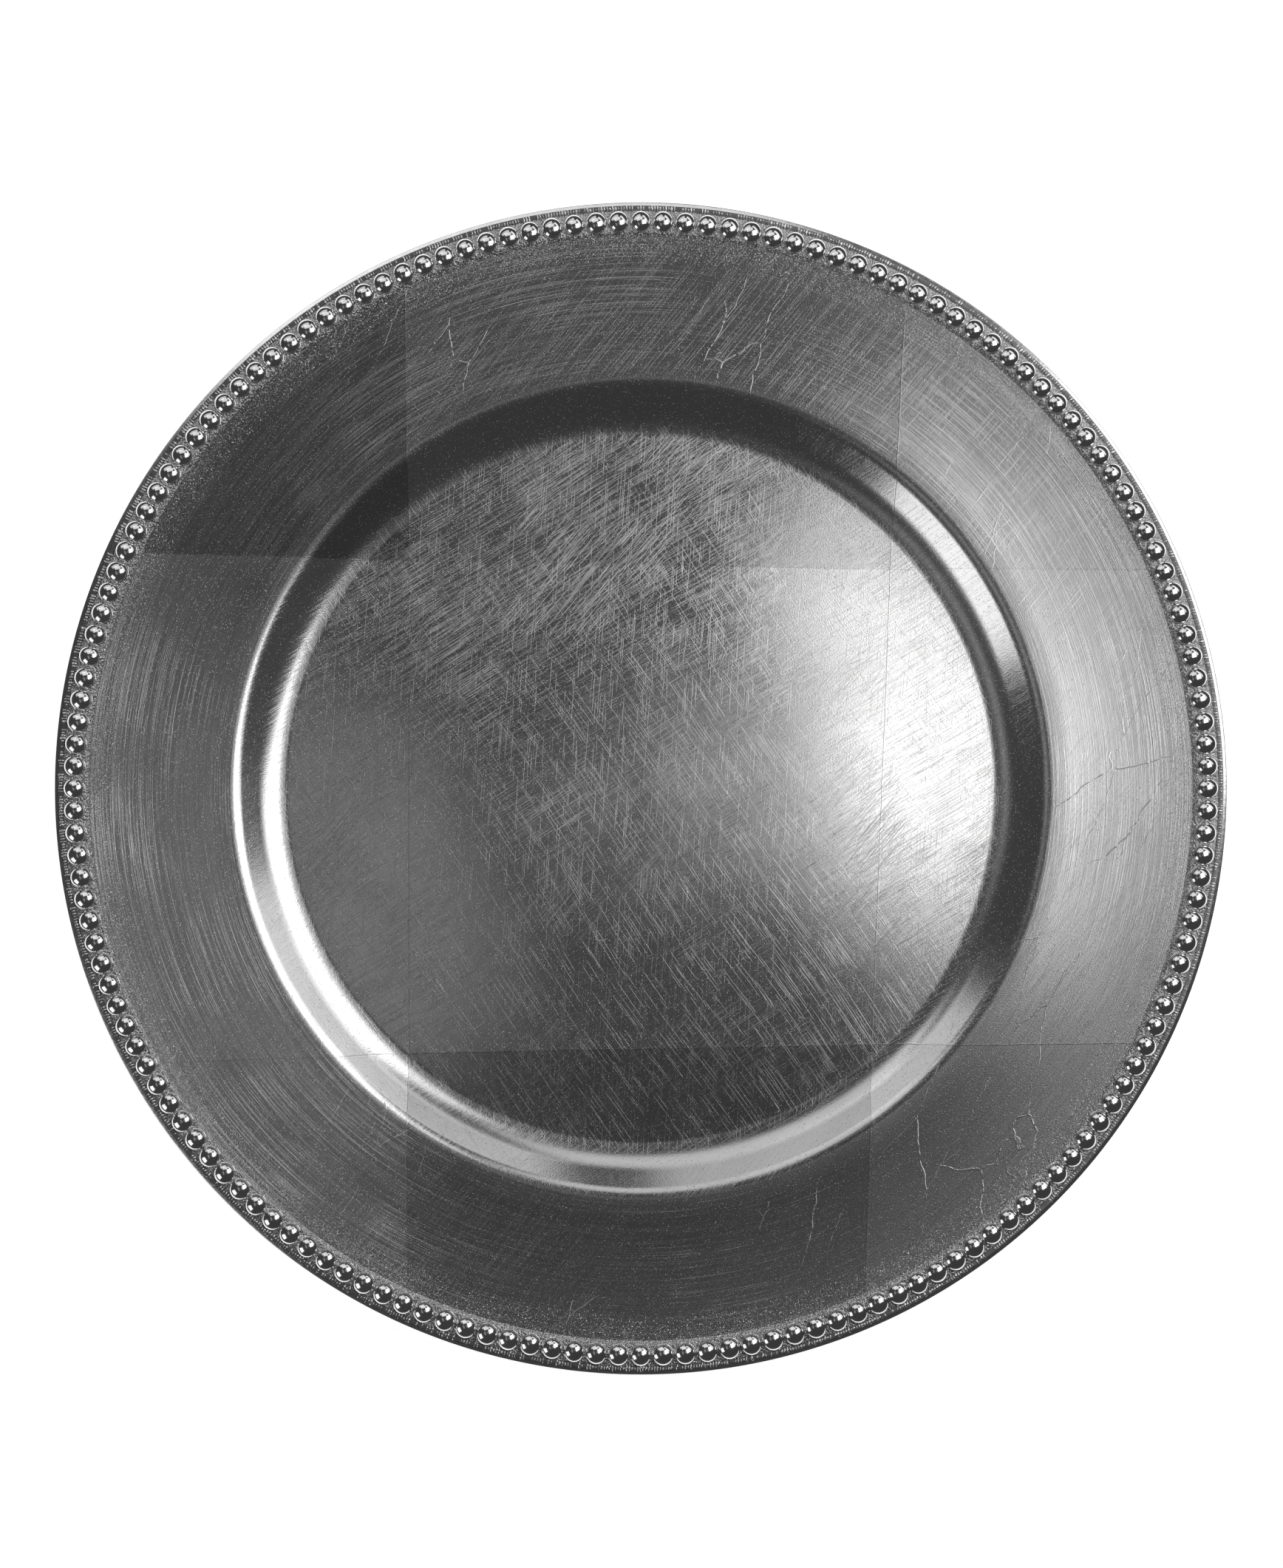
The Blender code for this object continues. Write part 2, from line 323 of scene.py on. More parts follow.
def ring_strokes(tree, place, radius, length, width, start, shift):
    """Rubbing strokes that run round the axis."""
    bearing = vectors(tree, "NORMALIZE", vectors(tree, "MULTIPLY", place, (1, 1, 0)))
    bearing = scaled(tree, bearing, RING_STROKE_RADIUS / length)
    out = node(tree, "ShaderNodeCombineXYZ", {"Z": maths(tree, "DIVIDE", radius, width)})
    polar = vectors(tree, "ADD", bearing, out.outputs[0])
    return fade(tree, grain(tree, polar, 1.0, 1.0, shift), start, start + STROKE_FADE)


def creases(tree, place, turn, size, stretch, width, shift):
    """Branching creases: the borders of stretched, bent cells."""
    sizes = {"Vector": place, "Scale": 1 / size, "Detail": 2.0}
    bend = node(tree, "ShaderNodeTexNoise", sizes).outputs["Color"]
    bent = vectors(tree, "ADD", place, scaled(tree, bend, size * 0.4))
    laid = {
        "Vector": bent,
        "Location": (shift, shift, 0),
        "Rotation": (0, 0, math.radians(turn)),
        "Scale": (size * stretch, size, size),
    }
    cells = node(tree, "ShaderNodeMapping", laid, vector_type="TEXTURE").outputs["Vector"]
    border = {"Vector": cells, "Scale": 1.0, "Randomness": 1.0}
    gap = node(tree, "ShaderNodeTexVoronoi", border, feature="DISTANCE_TO_EDGE")
    return fade(tree, gap.outputs["Distance"], width, 0.0)


def laid_leaf(name, spread):
    """Silver leaf on the dish: squares with torn laps, rubbed, scratched, creased and gritty."""
    material, tree, shader = new_material(name)
    place = node(tree, "ShaderNodeTexCoord").outputs["Object"]
    parts = node(tree, "ShaderNodeSeparateXYZ", {0: place}).outputs
    radius = length_of(tree, vectors(tree, "MULTIPLY", place, (1, 1, 0)))
    on_rim = fade(tree, radius, shoulder_radius - 0.004, shoulder_radius + 0.002)
    past_floor = fade(tree, radius, base_radius, base_radius + 0.005)
    on_booge = maths(tree, "MULTIPLY", past_floor, maths(tree, "SUBTRACT", 1.0, on_rim))

    # the nine squares and their laps
    ragged = maths(tree, "SUBTRACT", grain(tree, place, 0.006, detail=4.0), 0.5)
    tear = maths(tree, "MULTIPLY", ragged, LAP_TEAR)
    across = maths(tree, "ADD", parts["X"], tear)
    along = maths(tree, "ADD", parts["Y"], tear)
    right_lap = maths(tree, "MULTIPLY_ADD", parts["Y"], LAP_LEAN_RIGHT, LAP_RIGHT)
    top_lap = maths(tree, "MULTIPLY_ADD", parts["X"], LAP_LEAN_TOP, LAP_TOP)
    bottom_lap = maths(tree, "MULTIPLY_ADD", parts["X"], LAP_LEAN_BOTTOM, LAP_BOTTOM)
    gaps = [
        maths(tree, "SUBTRACT", across, LAP_LEFT),
        maths(tree, "SUBTRACT", across, right_lap),
        maths(tree, "SUBTRACT", along, top_lap),
        maths(tree, "SUBTRACT", along, bottom_lap),
    ]
    past_left, past_right, past_top, past_bottom = (
        fade(tree, gap, -LAP_LINE / 2, LAP_LINE / 2) for gap in gaps
    )
    rows = []
    for left, middle, right in (TOP_TONES, BOTTOM_TONES):
        rows.append(blend(tree, past_right, blend(tree, past_left, left, middle), right))
    square = blend(tree, past_top, blend(tree, past_bottom, rows[1], 1.0), rows[0])
    seams = 1.0
    for gap in gaps:
        seam = fade(tree, maths(tree, "ABSOLUTE", gap), 0.0, LAP_LINE)
        seams = maths(tree, "MINIMUM", seam, seams)

    # rubbing strokes: long slants on the floor, rings on the rim
    sway = maths(tree, "MULTIPLY", grain(tree, place, 0.08, detail=0.0), 0.005)
    swayed = vectors(tree, "ADD", place, sway)
    patches = fade(tree, grain(tree, place, 0.030, shift=3.0), 0.40, 0.62)
    wide = {"width": STROKE_WIDTH}
    slant = strokes(tree, swayed, turn=34, length=0.032, start=0.56, shift=1.0, **wide)
    steep = strokes(tree, swayed, turn=50, length=0.026, start=0.57, shift=11.0, **wide)
    counter = strokes(tree, swayed, turn=-56, length=0.020, start=0.60, shift=2.0, **wide)
    fine = strokes(tree, swayed, turn=30, length=0.014, width=0.00022, start=0.55, shift=4.0)
    weave = strokes(tree, place, turn=86, length=0.018, start=0.61, shift=5.0, **wide)
    rings = ring_strokes(tree, place, radius, length=0.030, start=0.56, shift=6.0, **wide)
    long_rings = ring_strokes(
        tree, place, radius, length=0.080, width=0.00030, start=0.58, shift=7.0
    )
    steeper = fade(tree, grain(tree, place, 0.040, detail=1.0, shift=12.0), 0.42, 0.56)
    slants = maths(tree, "MULTIPLY", blend(tree, steeper, slant, steep), patches)
    floor_rubs = maths(tree, "ADD", slants, maths(tree, "MULTIPLY", fine, 0.5))
    counters = maths(tree, "MULTIPLY", maths(tree, "ADD", counter, weave), 0.45)
    floor_rubs = maths(tree, "ADD", floor_rubs, counters)
    ring_share = maths(tree, "MULTIPLY_ADD", patches, 0.3, 0.2)
    rim_rubs = maths(tree, "MULTIPLY", maths(tree, "ADD", rings, long_rings), ring_share)
    rim_rubs = maths(tree, "ADD", rim_rubs, maths(tree, "MULTIPLY", steep, 0.35))
    rubs = blend(tree, on_rim, floor_rubs, rim_rubs)
    rubs = maths(tree, "MULTIPLY", rubs, maths(tree, "MULTIPLY_ADD", on_booge, -0.75, 1.0))

    # creases in patches, mostly on the rim, and grit that thickens towards the beads
    creased = fade(tree, grain(tree, place, 0.040, detail=1.0, shift=8.0), 0.54, 0.64)
    broken = fade(tree, grain(tree, place, 0.0012, shift=13.0), 0.38, 0.52)
    crease = creases(tree, place, turn=64, size=0.012, stretch=4.5, width=0.008, shift=0.03)
    crease = maths(tree, "MULTIPLY", maths(tree, "MULTIPLY", crease, broken), creased)
    crease = maths(tree, "MULTIPLY", crease, maths(tree, "MULTIPLY_ADD", on_rim, 0.8, 0.2))
    near_beads = fade(tree, radius, step_radius - 0.010, step_radius)
    speck_start = blend(tree, near_beads, 0.67, 0.60)
    specks = grain(tree, place, SPECK, detail=1.0, shift=9.0)
    speck = fade(tree, maths(tree, "SUBTRACT", specks, speck_start), 0.0, 0.06)
    marks = maths(tree, "ADD", crease, speck)
    marks = maths(tree, "ADD", maths(tree, "MULTIPLY", rubs, 0.55), marks)

    # each square's tone, clouded and darker along the laps, and the marks' relief
    cloud = grain(tree, place, 0.020, detail=3.0, shift=10.0)
    cloud = maths(tree, "MULTIPLY_ADD", cloud, 0.24, 0.88)
    tone = maths(tree, "MULTIPLY", maths(tree, "MULTIPLY", square, cloud), LEAF_GREY)
    tone = maths(tree, "MULTIPLY", tone, maths(tree, "MULTIPLY_ADD", seams, 0.15, 0.85))
    grey = node(tree, "ShaderNodeCombineColor", {0: tone, 1: tone, 2: tone}).outputs[0]
    matt = maths(tree, "MULTIPLY_ADD", marks, MARK_ROUGHNESS, LEAF_ROUGHNESS)
    height = maths(tree, "ADD", marks, maths(tree, "MULTIPLY", specks, 0.4))
    height = maths(tree, "ADD", height, maths(tree, "MULTIPLY", seams, -0.25))
    sizes = {"Strength": 0.60, "Distance": RELIEF, "Height": height}
    relief = node(tree, "ShaderNodeBump", sizes).outputs["Normal"]
    tree.links.new(grey, shader.inputs["Base Color"])
    tree.links.new(maths(tree, "MINIMUM", matt, ROUGHEST), shader.inputs["Roughness"])
    tree.links.new(relief, shader.inputs["Normal"])
    shader.inputs["Metallic"].default_value = 1.0
    shader.inputs["Anisotropic"].default_value = spread
    shader.inputs["Anisotropic Rotation"].default_value = RUB_TURN
    return material


def lacquer(name):
    """Satin grey lacquer, sprayed on the underside, with a few rubbed rings."""
    material, tree, shader = new_material(name)
    place = node(tree, "ShaderNodeTexCoord").outputs["Object"]
    radius = length_of(tree, place)
    rings = ring_strokes(
        tree, place, radius, length=0.040, width=0.00080, start=0.62, shift=11.0
    )
    peel = grain(tree, place, 0.0012, shift=12.0)
    cloud = grain(tree, place, 0.030, detail=3.0, shift=13.0)
    tone = maths(tree, "MULTIPLY_ADD", cloud, 0.10, maths(tree, "MULTIPLY_ADD", rings, 0.10, 0.26))
    grey = node(tree, "ShaderNodeCombineColor", {0: tone, 1: tone, 2: tone}).outputs[0]
    sizes = {"Strength": 0.2, "Distance": 0.0001, "Height": peel}
    relief = node(tree, "ShaderNodeBump", sizes).outputs["Normal"]
    tree.links.new(grey, shader.inputs["Base Color"])
    tree.links.new(maths(tree, "MULTIPLY_ADD", rings, -0.12, 0.46), shader.inputs["Roughness"])
    tree.links.new(relief, shader.inputs["Normal"])
    shader.inputs["Metallic"].default_value = 0.6
    return material


top_edge = [
    (sheet_edge, seat_top - SHEET_EDGE_ROUND),
    (sheet_edge - SHEET_EDGE_ROUND, seat_top),
    (seat_inner, seat_top),
]
under_edge = [
    (sheet_edge, seat_top - SHEET + SHEET_EDGE_ROUND),
    (sheet_edge - SHEET_EDGE_ROUND, seat_top - SHEET),
    (seat_inner, seat_top - SHEET),
]
top_face = top_edge + dish_run(0.0, rim_steps=40, booge_steps=36, floor_steps=36)
under_face = under_edge + dish_run(SHEET, rim_steps=12, booge_steps=24, floor_steps=12)
dish = turned("dish_sheet", top_face + under_face[::-1], TURN_STEPS)
grey_lacquer = lacquer("grey_lacquer")
dish.data.materials.append(laid_leaf("floor_leaf", FLOOR_SPREAD))
dish.data.materials.append(laid_leaf("rim_leaf", RIM_SPREAD))
dish.data.materials.append(grey_lacquer)
FACES_DOWN = -0.02  # the underside's faces get the lacquer
for face in dish.data.polygons:
    outside = math.hypot(face.center.x, face.center.y) > shoulder_radius
    face.material_index = 2 if face.normal.z < FACES_DOWN else int(outside)
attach(dish, "root")
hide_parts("dish")

# ---------------------------------------------------------------------------------------------
# Bead border
# A strip of half-round beads on a flat web, soldered in the seat. The leaf is pressed over it:
# it bridges the foot of each bead in a small hollow and breaks up into grit between them.
# ---------------------------------------------------------------------------------------------
BEAD_COUNT = 160
BEAD_RADIUS = 0.00298
BEAD_RISE = 0.0025
BEAD_CAP = 0.92  # share of the radius that the flat round crown takes
BEAD_CAP_SLOPE = math.radians(47)
BEAD_SIDE_SLOPE = math.radians(86)
BEAD_FLARE = 0.00014  # the hollow where the leaf bridges a bead's foot
BEAD_SIDES = 18
BEAD_SINK = 0.0002  # each bead goes this far into the web
WEB_THICKNESS = 0.0009
RAMP = 0.0012  # leaf bridges from the rim up to the web over this width
RAMP_GAP = 0.0001
LEAF_LIFT = 0.00003
GRIT_INNER = 0.1490
GRIT_INNER_DROP = 0.00095  # the rim is this much lower there
CRUMB_SMALLEST = (0.35, 0.35, 0.20)
CRUMB_LARGEST = (1.5, 1.0, 0.7)
CRUMB_TIP = 0.9

_, beads_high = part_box("bead_border")
web_top = beads_high.z - BEAD_RISE
web_inner = web_outer - WEB_WIDTH
bead_circle = web_outer - WEB_WIDTH / 2


def new_growth(name, start, sizes, numbers, result):
    """A Geometry Nodes tree with named inputs: the starting shape, sizes, numbers and a finish."""
    tree = bpy.data.node_groups.new(name, "GeometryNodeTree")
    face = tree.interface
    face.new_socket(start, in_out="INPUT", socket_type="NodeSocketGeometry")
    for size in sizes:
        face.new_socket(size, in_out="INPUT", socket_type="NodeSocketFloat")
    for number in numbers:
        face.new_socket(number, in_out="INPUT", socket_type="NodeSocketInt")
    face.new_socket("Finish", in_out="INPUT", socket_type="NodeSocketMaterial")
    face.new_socket(result, in_out="OUTPUT", socket_type="NodeSocketGeometry")
    return tree


def finished(tree, copies, finish):
    """Copies made real, with their material set."""
    solid = node(tree, "GeometryNodeRealizeInstances", {0: copies}).outputs[0]
    painted = {"Geometry": solid, "Material": finish}
    return node(tree, "GeometryNodeSetMaterial", painted).outputs[0]


def repeat_tree(name):
    """Geometry Nodes: copies of one shape, side by side round the axis, each a little uneven."""
    sizes = ("Radius", "Height", "Uneven", "Lean", "Missing")
    tree = new_growth(name, "Shape", sizes, ("Count", "Seed"), "Ring")
    given = node(tree, "NodeGroupInput").outputs
    seed = {"Seed": given["Seed"]}
    places = {"Vertices": given["Count"], "Radius": given["Radius"]}
    ring = node(tree, "GeometryNodeMeshCircle", places).outputs[0]
    lift = node(tree, "ShaderNodeCombineXYZ", {"Z": given["Height"]}).outputs[0]
    raised = {"Geometry": ring, "Offset": lift}
    ring = node(tree, "GeometryNodeSetPosition", raised).outputs[0]
    drawn = node(tree, "FunctionNodeRandomValue", seed, data_type="FLOAT").outputs[1]
    gone = {"Geometry": ring, "Selection": maths(tree, "LESS_THAN", drawn, given["Missing"])}
    ring = node(tree, "GeometryNodeDeleteGeometry", gone).outputs[0]
    where = node(tree, "GeometryNodeInputPosition").outputs[0]
    bearing = {"Vector": vectors(tree, "MULTIPLY", where, (1, 1, 0))}
    facing = node(tree, "FunctionNodeAlignRotationToVector", bearing, axis="X").outputs[0]
    low_lean = maths(tree, "MULTIPLY", given["Lean"], -1.0)
    lean = node(tree, "FunctionNodeRandomValue", seed, data_type="FLOAT_VECTOR")
    tree.links.new(low_lean, lean.inputs["Min"])
    tree.links.new(given["Lean"], lean.inputs["Max"])
    tilt = node(tree, "FunctionNodeEulerToRotation", {0: lean.outputs[0]}).outputs[0]
    turn = {"Rotation": facing, "Rotate By": tilt}
    facing = node(tree, "FunctionNodeRotateRotation", turn, rotation_space="LOCAL").outputs[0]
    shrink = maths(tree, "SUBTRACT", 1.0, given["Uneven"])
    swell = maths(tree, "ADD", 1.0, given["Uneven"])
    size = node(tree, "FunctionNodeRandomValue", seed, data_type="FLOAT_VECTOR")
    tree.links.new(shrink, size.inputs["Min"])
    tree.links.new(swell, size.inputs["Max"])
    copies = {"Points": ring, "Instance": given["Shape"]}
    copies.update({"Rotation": facing, "Scale": size.outputs[0]})
    copies = node(tree, "GeometryNodeInstanceOnPoints", copies).outputs[0]
    node(tree, "NodeGroupOutput", {"Ring": finished(tree, copies, given["Finish"])})
    return tree


def grit_tree(name):
    """Geometry Nodes: loose crumbs of leaf, scattered on a surface, thicker further out."""
    sizes = ("Density", "Grain", "Bare Inside", "Full Outside")
    tree = new_growth(name, "Ground", sizes, ("Seed",), "Grit")
    given = node(tree, "NodeGroupInput").outputs
    where = node(tree, "GeometryNodeInputPosition").outputs[0]
    radius = length_of(tree, vectors(tree, "MULTIPLY", where, (1, 1, 0)))
    reach = {"Value": radius, "From Min": given["Bare Inside"], "From Max": given["Full Outside"]}
    thick = node(tree, "ShaderNodeMapRange", reach).outputs["Result"]
    thick = maths(tree, "MULTIPLY", maths(tree, "POWER", thick, 2.0), given["Density"])
    spread = {"Mesh": given["Ground"], "Density": thick, "Seed": given["Seed"]}
    points = node(tree, "GeometryNodeDistributePointsOnFaces", spread).outputs["Points"]
    ball = {"Radius": given["Grain"], "Subdivisions": 1}
    crumb = node(tree, "GeometryNodeMeshIcoSphere", ball).outputs[0]
    span = {"Min": CRUMB_SMALLEST, "Max": CRUMB_LARGEST, "Seed": given["Seed"]}
    size = node(tree, "FunctionNodeRandomValue", span, data_type="FLOAT_VECTOR").outputs[0]
    turns = {"Min": (-CRUMB_TIP, -CRUMB_TIP, 0.0), "Max": (CRUMB_TIP, CRUMB_TIP, math.tau)}
    turns["Seed"] = given["Seed"]
    turn = node(tree, "FunctionNodeRandomValue", turns, data_type="FLOAT_VECTOR").outputs[0]
    turn = node(tree, "FunctionNodeEulerToRotation", {0: turn}).outputs[0]
    copies = {"Points": points, "Instance": crumb, "Rotation": turn, "Scale": size}
    copies = node(tree, "GeometryNodeInstanceOnPoints", copies).outputs[0]
    node(tree, "NodeGroupOutput", {"Grit": finished(tree, copies, given["Finish"])})
    return tree


def grown(name, seed_piece, tree, sizes):
    """What a tree makes of a small starting piece, as a plain mesh. The starting piece goes."""
    growth = seed_piece.modifiers.new("growth", "NODES")
    growth.node_group = tree
    for item in tree.interface.items_tree:
        if item.in_out == "INPUT" and item.name in sizes:
            growth[item.identifier] = sizes[item.name]
    seed_piece.update_tag()
    ready = seed_piece.evaluated_get(bpy.context.evaluated_depsgraph_get())
    mesh = bpy.data.meshes.new_from_object(ready)
    mesh.name = name
    bpy.data.objects.remove(seed_piece)
    piece = bpy.data.objects.new(name, mesh)
    scene.collection.objects.link(piece)
    return piece


def pressed_leaf(name, grey, roughness, wrinkle, depth):
    """Leaf pressed over small relief: brighter and smoother than laid leaf, with fine wrinkles."""
    material, tree, shader = new_material(name)
    place = node(tree, "ShaderNodeTexCoord").outputs["Object"]
    cloud = grain(tree, place, 0.004, shift=14.0)
    crumple = grain(tree, place, wrinkle, shift=15.0)
    tone = maths(tree, "MULTIPLY", maths(tree, "MULTIPLY_ADD", cloud, 0.30, 0.85), grey)
    colour = node(tree, "ShaderNodeCombineColor", {0: tone, 1: tone, 2: tone}).outputs[0]
    matt = maths(tree, "MULTIPLY_ADD", crumple, 0.12, roughness - 0.06)
    sizes = {"Strength": 0.5, "Distance": depth, "Height": crumple}
    relief = node(tree, "ShaderNodeBump", sizes).outputs["Normal"]
    tree.links.new(colour, shader.inputs["Base Color"])
    tree.links.new(matt, shader.inputs["Roughness"])
    tree.links.new(relief, shader.inputs["Normal"])
    shader.inputs["Metallic"].default_value = 1.0
    return material


bead_leaf = pressed_leaf("bead_leaf", grey=0.88, roughness=0.13, wrinkle=0.0016, depth=0.00005)
web_leaf = pressed_leaf("web_leaf", grey=0.50, roughness=0.24, wrinkle=0.0006, depth=0.00090)
grit_leaf = pressed_leaf("grit_leaf", grey=0.90, roughness=0.12, wrinkle=0.0004, depth=0.00005)
crown_radius = BEAD_CAP * BEAD_RADIUS / math.sin(BEAD_CAP_SLOPE)
side_radius = (1 - BEAD_CAP) * BEAD_RADIUS / (math.sin(BEAD_SIDE_SLOPE) - math.sin(BEAD_CAP_SLOPE))
crown_centre = (0.0, BEAD_RISE - crown_radius)
side_centre = (
    (crown_radius - side_radius) * math.sin(BEAD_CAP_SLOPE),
    crown_centre[1] + (crown_radius - side_radius) * math.cos(BEAD_CAP_SLOPE),
)
dome = arc(crown_centre, crown_radius, QUARTER, QUARTER - BEAD_CAP_SLOPE, 6)
dome += arc(side_centre, side_radius, QUARTER - BEAD_CAP_SLOPE, QUARTER - BEAD_SIDE_SLOPE, 3)[1:]
flare_radius = BEAD_RADIUS + BEAD_FLARE
flare = [
    (BEAD_RADIUS + BEAD_FLARE * 0.10, BEAD_RISE * 0.08),
    (BEAD_RADIUS + BEAD_FLARE * 0.40, BEAD_RISE * 0.02),
    (flare_radius, 0.0),
]
bead_section = dome + flare + [(flare_radius, -BEAD_SINK), (0.0, -BEAD_SINK)]
repeat_round = repeat_tree("shapes_round_the_axis")
beads = grown(
    "beads",
    turned("bead", bead_section, BEAD_SIDES),
    repeat_round,
    {
        "Count": BEAD_COUNT,
        "Radius": bead_circle,
        "Height": web_top,
        "Uneven": 0.02,
        "Lean": 0.03,
        "Missing": 0.0,
        "Seed": 3,
        "Finish": bead_leaf,
    },
)
web_rise = web_top - rim_top
web_section = [
    (web_outer, web_top),
    (web_outer, web_top - WEB_THICKNESS),
    (web_inner, web_top - WEB_THICKNESS),
    (step_radius + RAMP_GAP, rim_top - SEAT_STEP * 0.6),
    (step_radius + RAMP_GAP, rim_top + LEAF_LIFT),
    (step_radius + RAMP * 0.35, rim_top + web_rise * 0.22),
    (step_radius + RAMP * 0.70, rim_top + web_rise * 0.78),
    (step_radius + RAMP, web_top),
]
web = turned("bead_web", web_section, TURN_STEPS)
web.data.materials.append(web_leaf)
ground_line = [
    (web_outer, web_top),
    (web_inner, web_top),
    (step_radius, rim_top),
    (GRIT_INNER, rim_top - GRIT_INNER_DROP),
]
ground = turned("ground", ground_line, steps=120, closed=False)
grit = grown(
    "leaf_grit",
    ground,
    grit_tree("crumbs_of_leaf"),
    {
        "Density": 4.0e6,
        "Grain": 0.00019,
        "Bare Inside": GRIT_INNER,
        "Full Outside": web_inner,
        "Seed": 5,
        "Finish": grit_leaf,
    },
)
for piece in (beads, web, grit):
    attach(piece, "root")
    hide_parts("bead_border")

# ---------------------------------------------------------------------------------------------
# Reeded edge
# A narrow ridge outside the beads, with fine cross ribs rolled into its inner slope. The leaf
# fills some of the grooves, so the ribs are uneven. The ridge's leaf is a dark grey: painted
# shade in the grooves between the ribs.
# ---------------------------------------------------------------------------------------------
RIB_COUNT = 1300
RIB_LENGTH = 0.00125
RIB_WIDTH = 0.00052
RIB_HEIGHT = 0.00036
RIB_TAPER = ((-0.5, 0.45), (-0.2, 1.0), (0.25, 1.0), (0.5, 0.55))  # share of length, of size
RIB_SINK = 0.25  # share of a rib's height that is in the ridge
RIDGE_GAP = 0.00004
RIDGE_WIDTH = 0.00118
RIDGE_CREST_WIDTH = 0.00018
RIDGE_RISE = 0.00022

reed_low, reed_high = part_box("reeded_edge")
crest = reed_high.z
ridge_inner = web_outer + RIDGE_GAP
ridge_outer = ridge_inner + RIDGE_WIDTH
ridge_foot = crest - RIDGE_RISE


def rib_shape(name):
    """One rib: a half-round bar with tapered ends, laid on the ridge's slope."""
    slope = math.atan2(crest - ridge_foot, ridge_outer - RIDGE_CREST_WIDTH - ridge_inner)
    shape = bmesh.new()
    rows = []
    for share, size in RIB_TAPER:
        row = []
        for turn in range(5):
            angle = math.pi * turn / 4
            side = RIB_WIDTH / 2 * math.cos(angle) * size
            lift = RIB_HEIGHT * (math.sin(angle) * size - RIB_SINK)
            x = share * RIB_LENGTH * math.cos(slope) - lift * math.sin(slope)
            z = share * RIB_LENGTH * math.sin(slope) + lift * math.cos(slope)
            row.append(shape.verts.new((x, side, z)))
        rows.append(row)
    for near, far in zip(rows, rows[1:]):
        for i in range(5):
            shape.faces.new((near[i], near[(i + 1) % 5], far[(i + 1) % 5], far[i]))
    shape.faces.new(rows[0])
    shape.faces.new(rows[-1])
    bmesh.ops.recalc_face_normals(shape, faces=shape.faces)
    mesh = bpy.data.meshes.new(name)
    shape.to_mesh(mesh)
    shape.free()
    mesh.shade_smooth()
    mesh.set_sharp_from_angle(angle=math.radians(60))
    piece = bpy.data.objects.new(name, mesh)
    scene.collection.objects.link(piece)
    return piece


rib_leaf = pressed_leaf("rib_leaf", grey=0.92, roughness=0.12, wrinkle=0.0012, depth=0.00008)
# The ridge under the ribs is the same leaf as the ribs, but is given a grey of 0.30 against their
# 0.92: painted shade in the grooves between the ribs.
groove_painted_shade_leaf = pressed_leaf("groove_painted_shade_leaf", grey=0.30, roughness=0.35, wrinkle=0.0006, depth=0.0001)
ribs = grown(
    "edge_ribs",
    rib_shape("rib"),
    repeat_round,
    {
        "Count": RIB_COUNT,
        "Radius": (ridge_inner + ridge_outer - RIDGE_CREST_WIDTH) / 2,
        "Height": (ridge_foot + crest) / 2,
        "Uneven": 0.45,
        "Lean": 0.10,
        "Missing": 0.20,
        "Seed": 8,
        "Finish": rib_leaf,
    },
)
ridge_section = [
    (ridge_outer, crest),
    (ridge_outer, reed_low.z),
    (ridge_inner, reed_low.z),
    (ridge_inner, ridge_foot),
    (ridge_outer - RIDGE_CREST_WIDTH, crest),
]
ridge = turned("edge_ridge", ridge_section, TURN_STEPS)
ridge.data.materials.append(groove_painted_shade_leaf)
for piece in (ribs, ridge):
    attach(piece, "root")
    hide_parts("reeded_edge")

# ---------------------------------------------------------------------------------------------
# Rim wire
# A wire soldered round the sheet's edge. Its rebate carries the reeded edge, and its round lip
# is the plain band that ends the salver.
# ---------------------------------------------------------------------------------------------
LIP_FALL = 0.00014
LIP_CORNER = 0.00032
LIP_GAP = 0.00003
LIP_BREAK = 0.0001  # the lip's inner corner is broken by this much
WIRE_GAP = 0.00005
WIRE_FOOT_CORNER = 0.0008

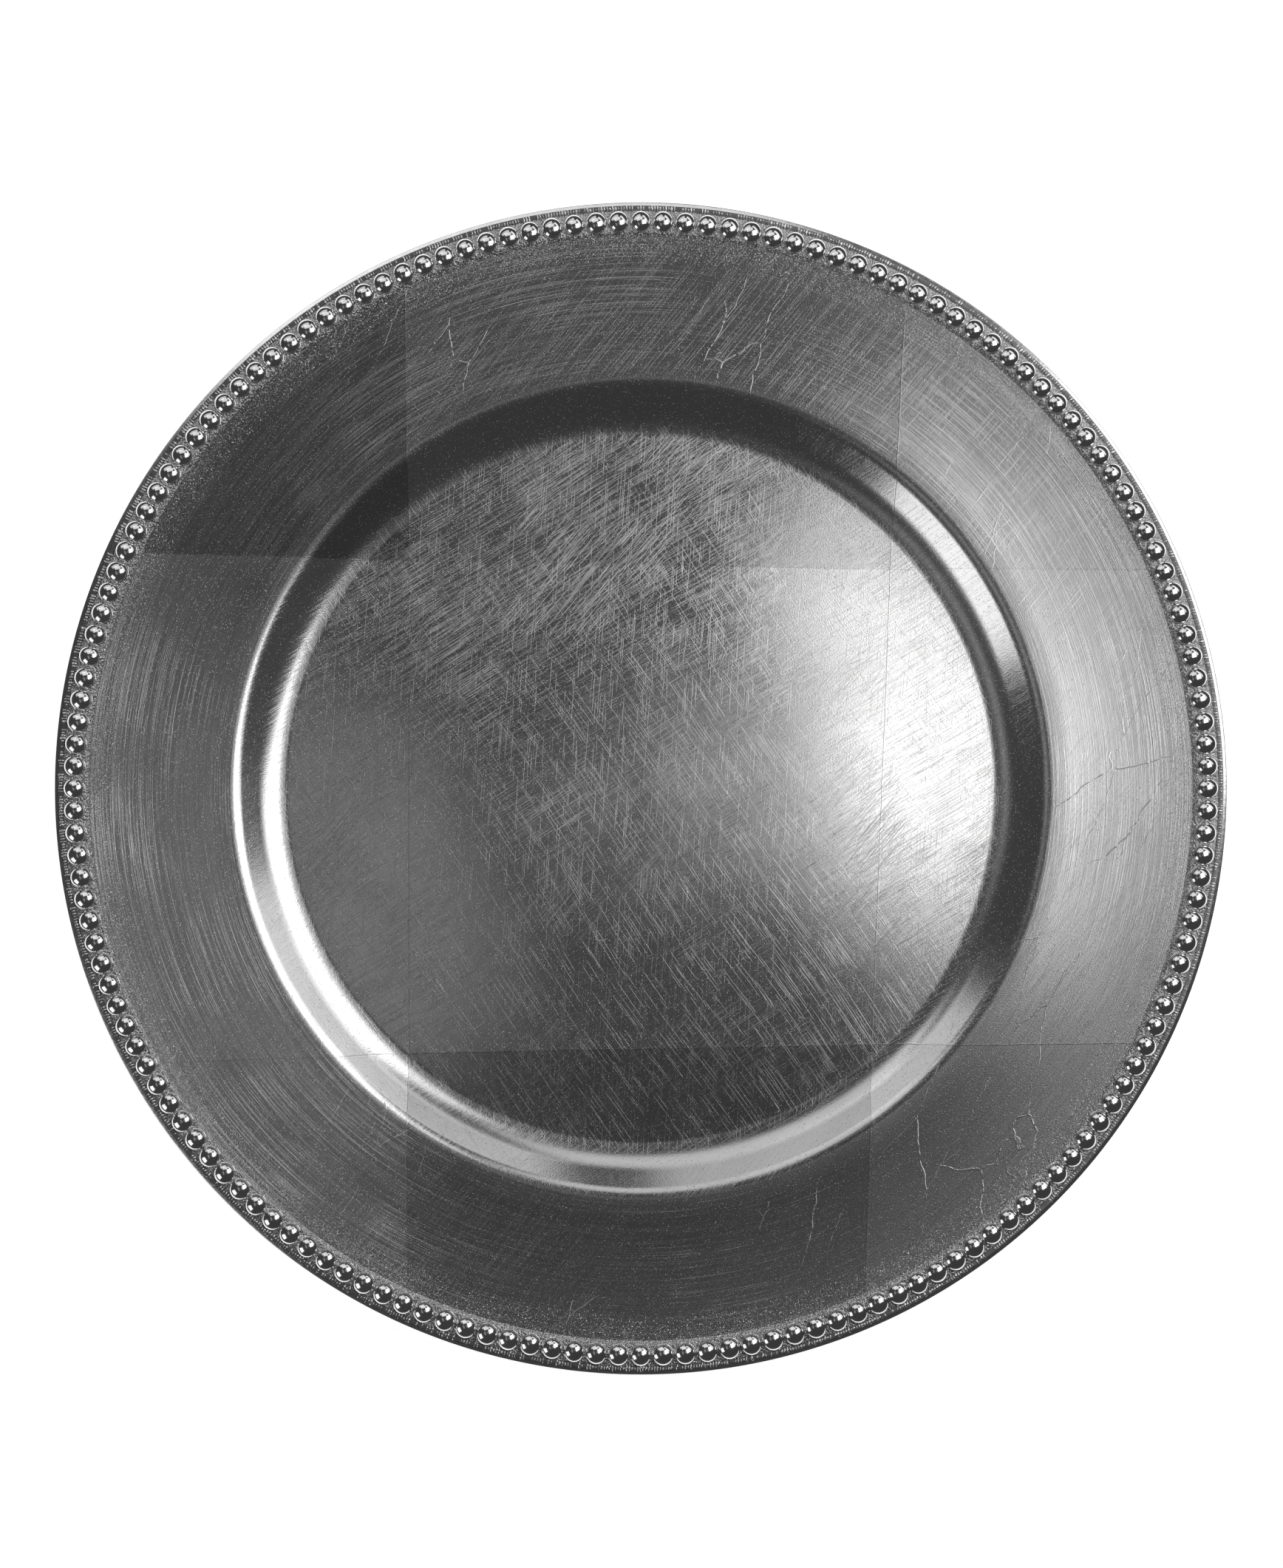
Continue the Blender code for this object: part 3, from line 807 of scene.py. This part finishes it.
lip_inner = ridge_outer + LIP_GAP
outer_radius = wire_high.x
lip_top = wire_high.z
wire_bottom = wire_low.z
wire_inner = sheet_edge + WIRE_GAP
lip_slope = math.atan2(LIP_FALL, outer_radius - LIP_CORNER - lip_inner)
lip_centre = (outer_radius - LIP_CORNER, lip_top - LIP_FALL - LIP_CORNER)
foot_centre = (outer_radius - WIRE_FOOT_CORNER, wire_bottom + WIRE_FOOT_CORNER)
wire_section = [(lip_inner, lip_top - LIP_BREAK), (lip_inner + LIP_BREAK, lip_top)]
wire_section += arc(lip_centre, LIP_CORNER, QUARTER - lip_slope, 0.0, 6)
wire_section += arc(foot_centre, WIRE_FOOT_CORNER, 0.0, -QUARTER, 6)
wire_section += [(wire_inner, wire_bottom), (wire_inner, seat_top), (lip_inner, seat_top)]
wire = turned("rim_wire_lip", wire_section, TURN_STEPS)
lip_leaf = pressed_leaf("lip_leaf", grey=0.88, roughness=0.18, wrinkle=0.0009, depth=0.00004)
wire.data.materials.append(lip_leaf)
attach(wire, "root")
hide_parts("rim_wire")

# ---------------------------------------------------------------------------------------------
# Foot ring
# A low ring soldered under the floor. It is lacquered with the underside, and stands on a
# narrow face with eased corners.
# ---------------------------------------------------------------------------------------------
FOOT_WIDTH = 0.0030
FOOT_EASE = 0.0005
FOOT_GAP = 0.00003
SOLDER_REACH = 0.0006  # the solder at the foot's top spreads this far
SOLDER_FALL = 0.0005
SOLDER_LIP = 0.0001

foot_low, foot_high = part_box("foot_ring")
foot_outer = foot_high.x
foot_inner = foot_outer - FOOT_WIDTH
foot_top = dish_low.z - FOOT_GAP
solder_end = foot_top - SOLDER_FALL
outer_corner = (foot_outer - FOOT_EASE, foot_low.z + FOOT_EASE)
inner_corner = (foot_inner + FOOT_EASE, foot_low.z + FOOT_EASE)
foot_section = [(foot_outer + SOLDER_REACH, foot_top), (foot_outer + SOLDER_LIP, solder_end)]
foot_section += arc(outer_corner, FOOT_EASE, 0.0, -QUARTER, 5)
foot_section += arc(inner_corner, FOOT_EASE, -QUARTER, -2 * QUARTER, 5)
foot_section += [(foot_inner - SOLDER_LIP, solder_end), (foot_inner - SOLDER_REACH, foot_top)]
foot = turned("foot_ring_turned", foot_section, TURN_STEPS)
foot.data.materials.append(grey_lacquer)
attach(foot, "root")
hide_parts("foot_ring")
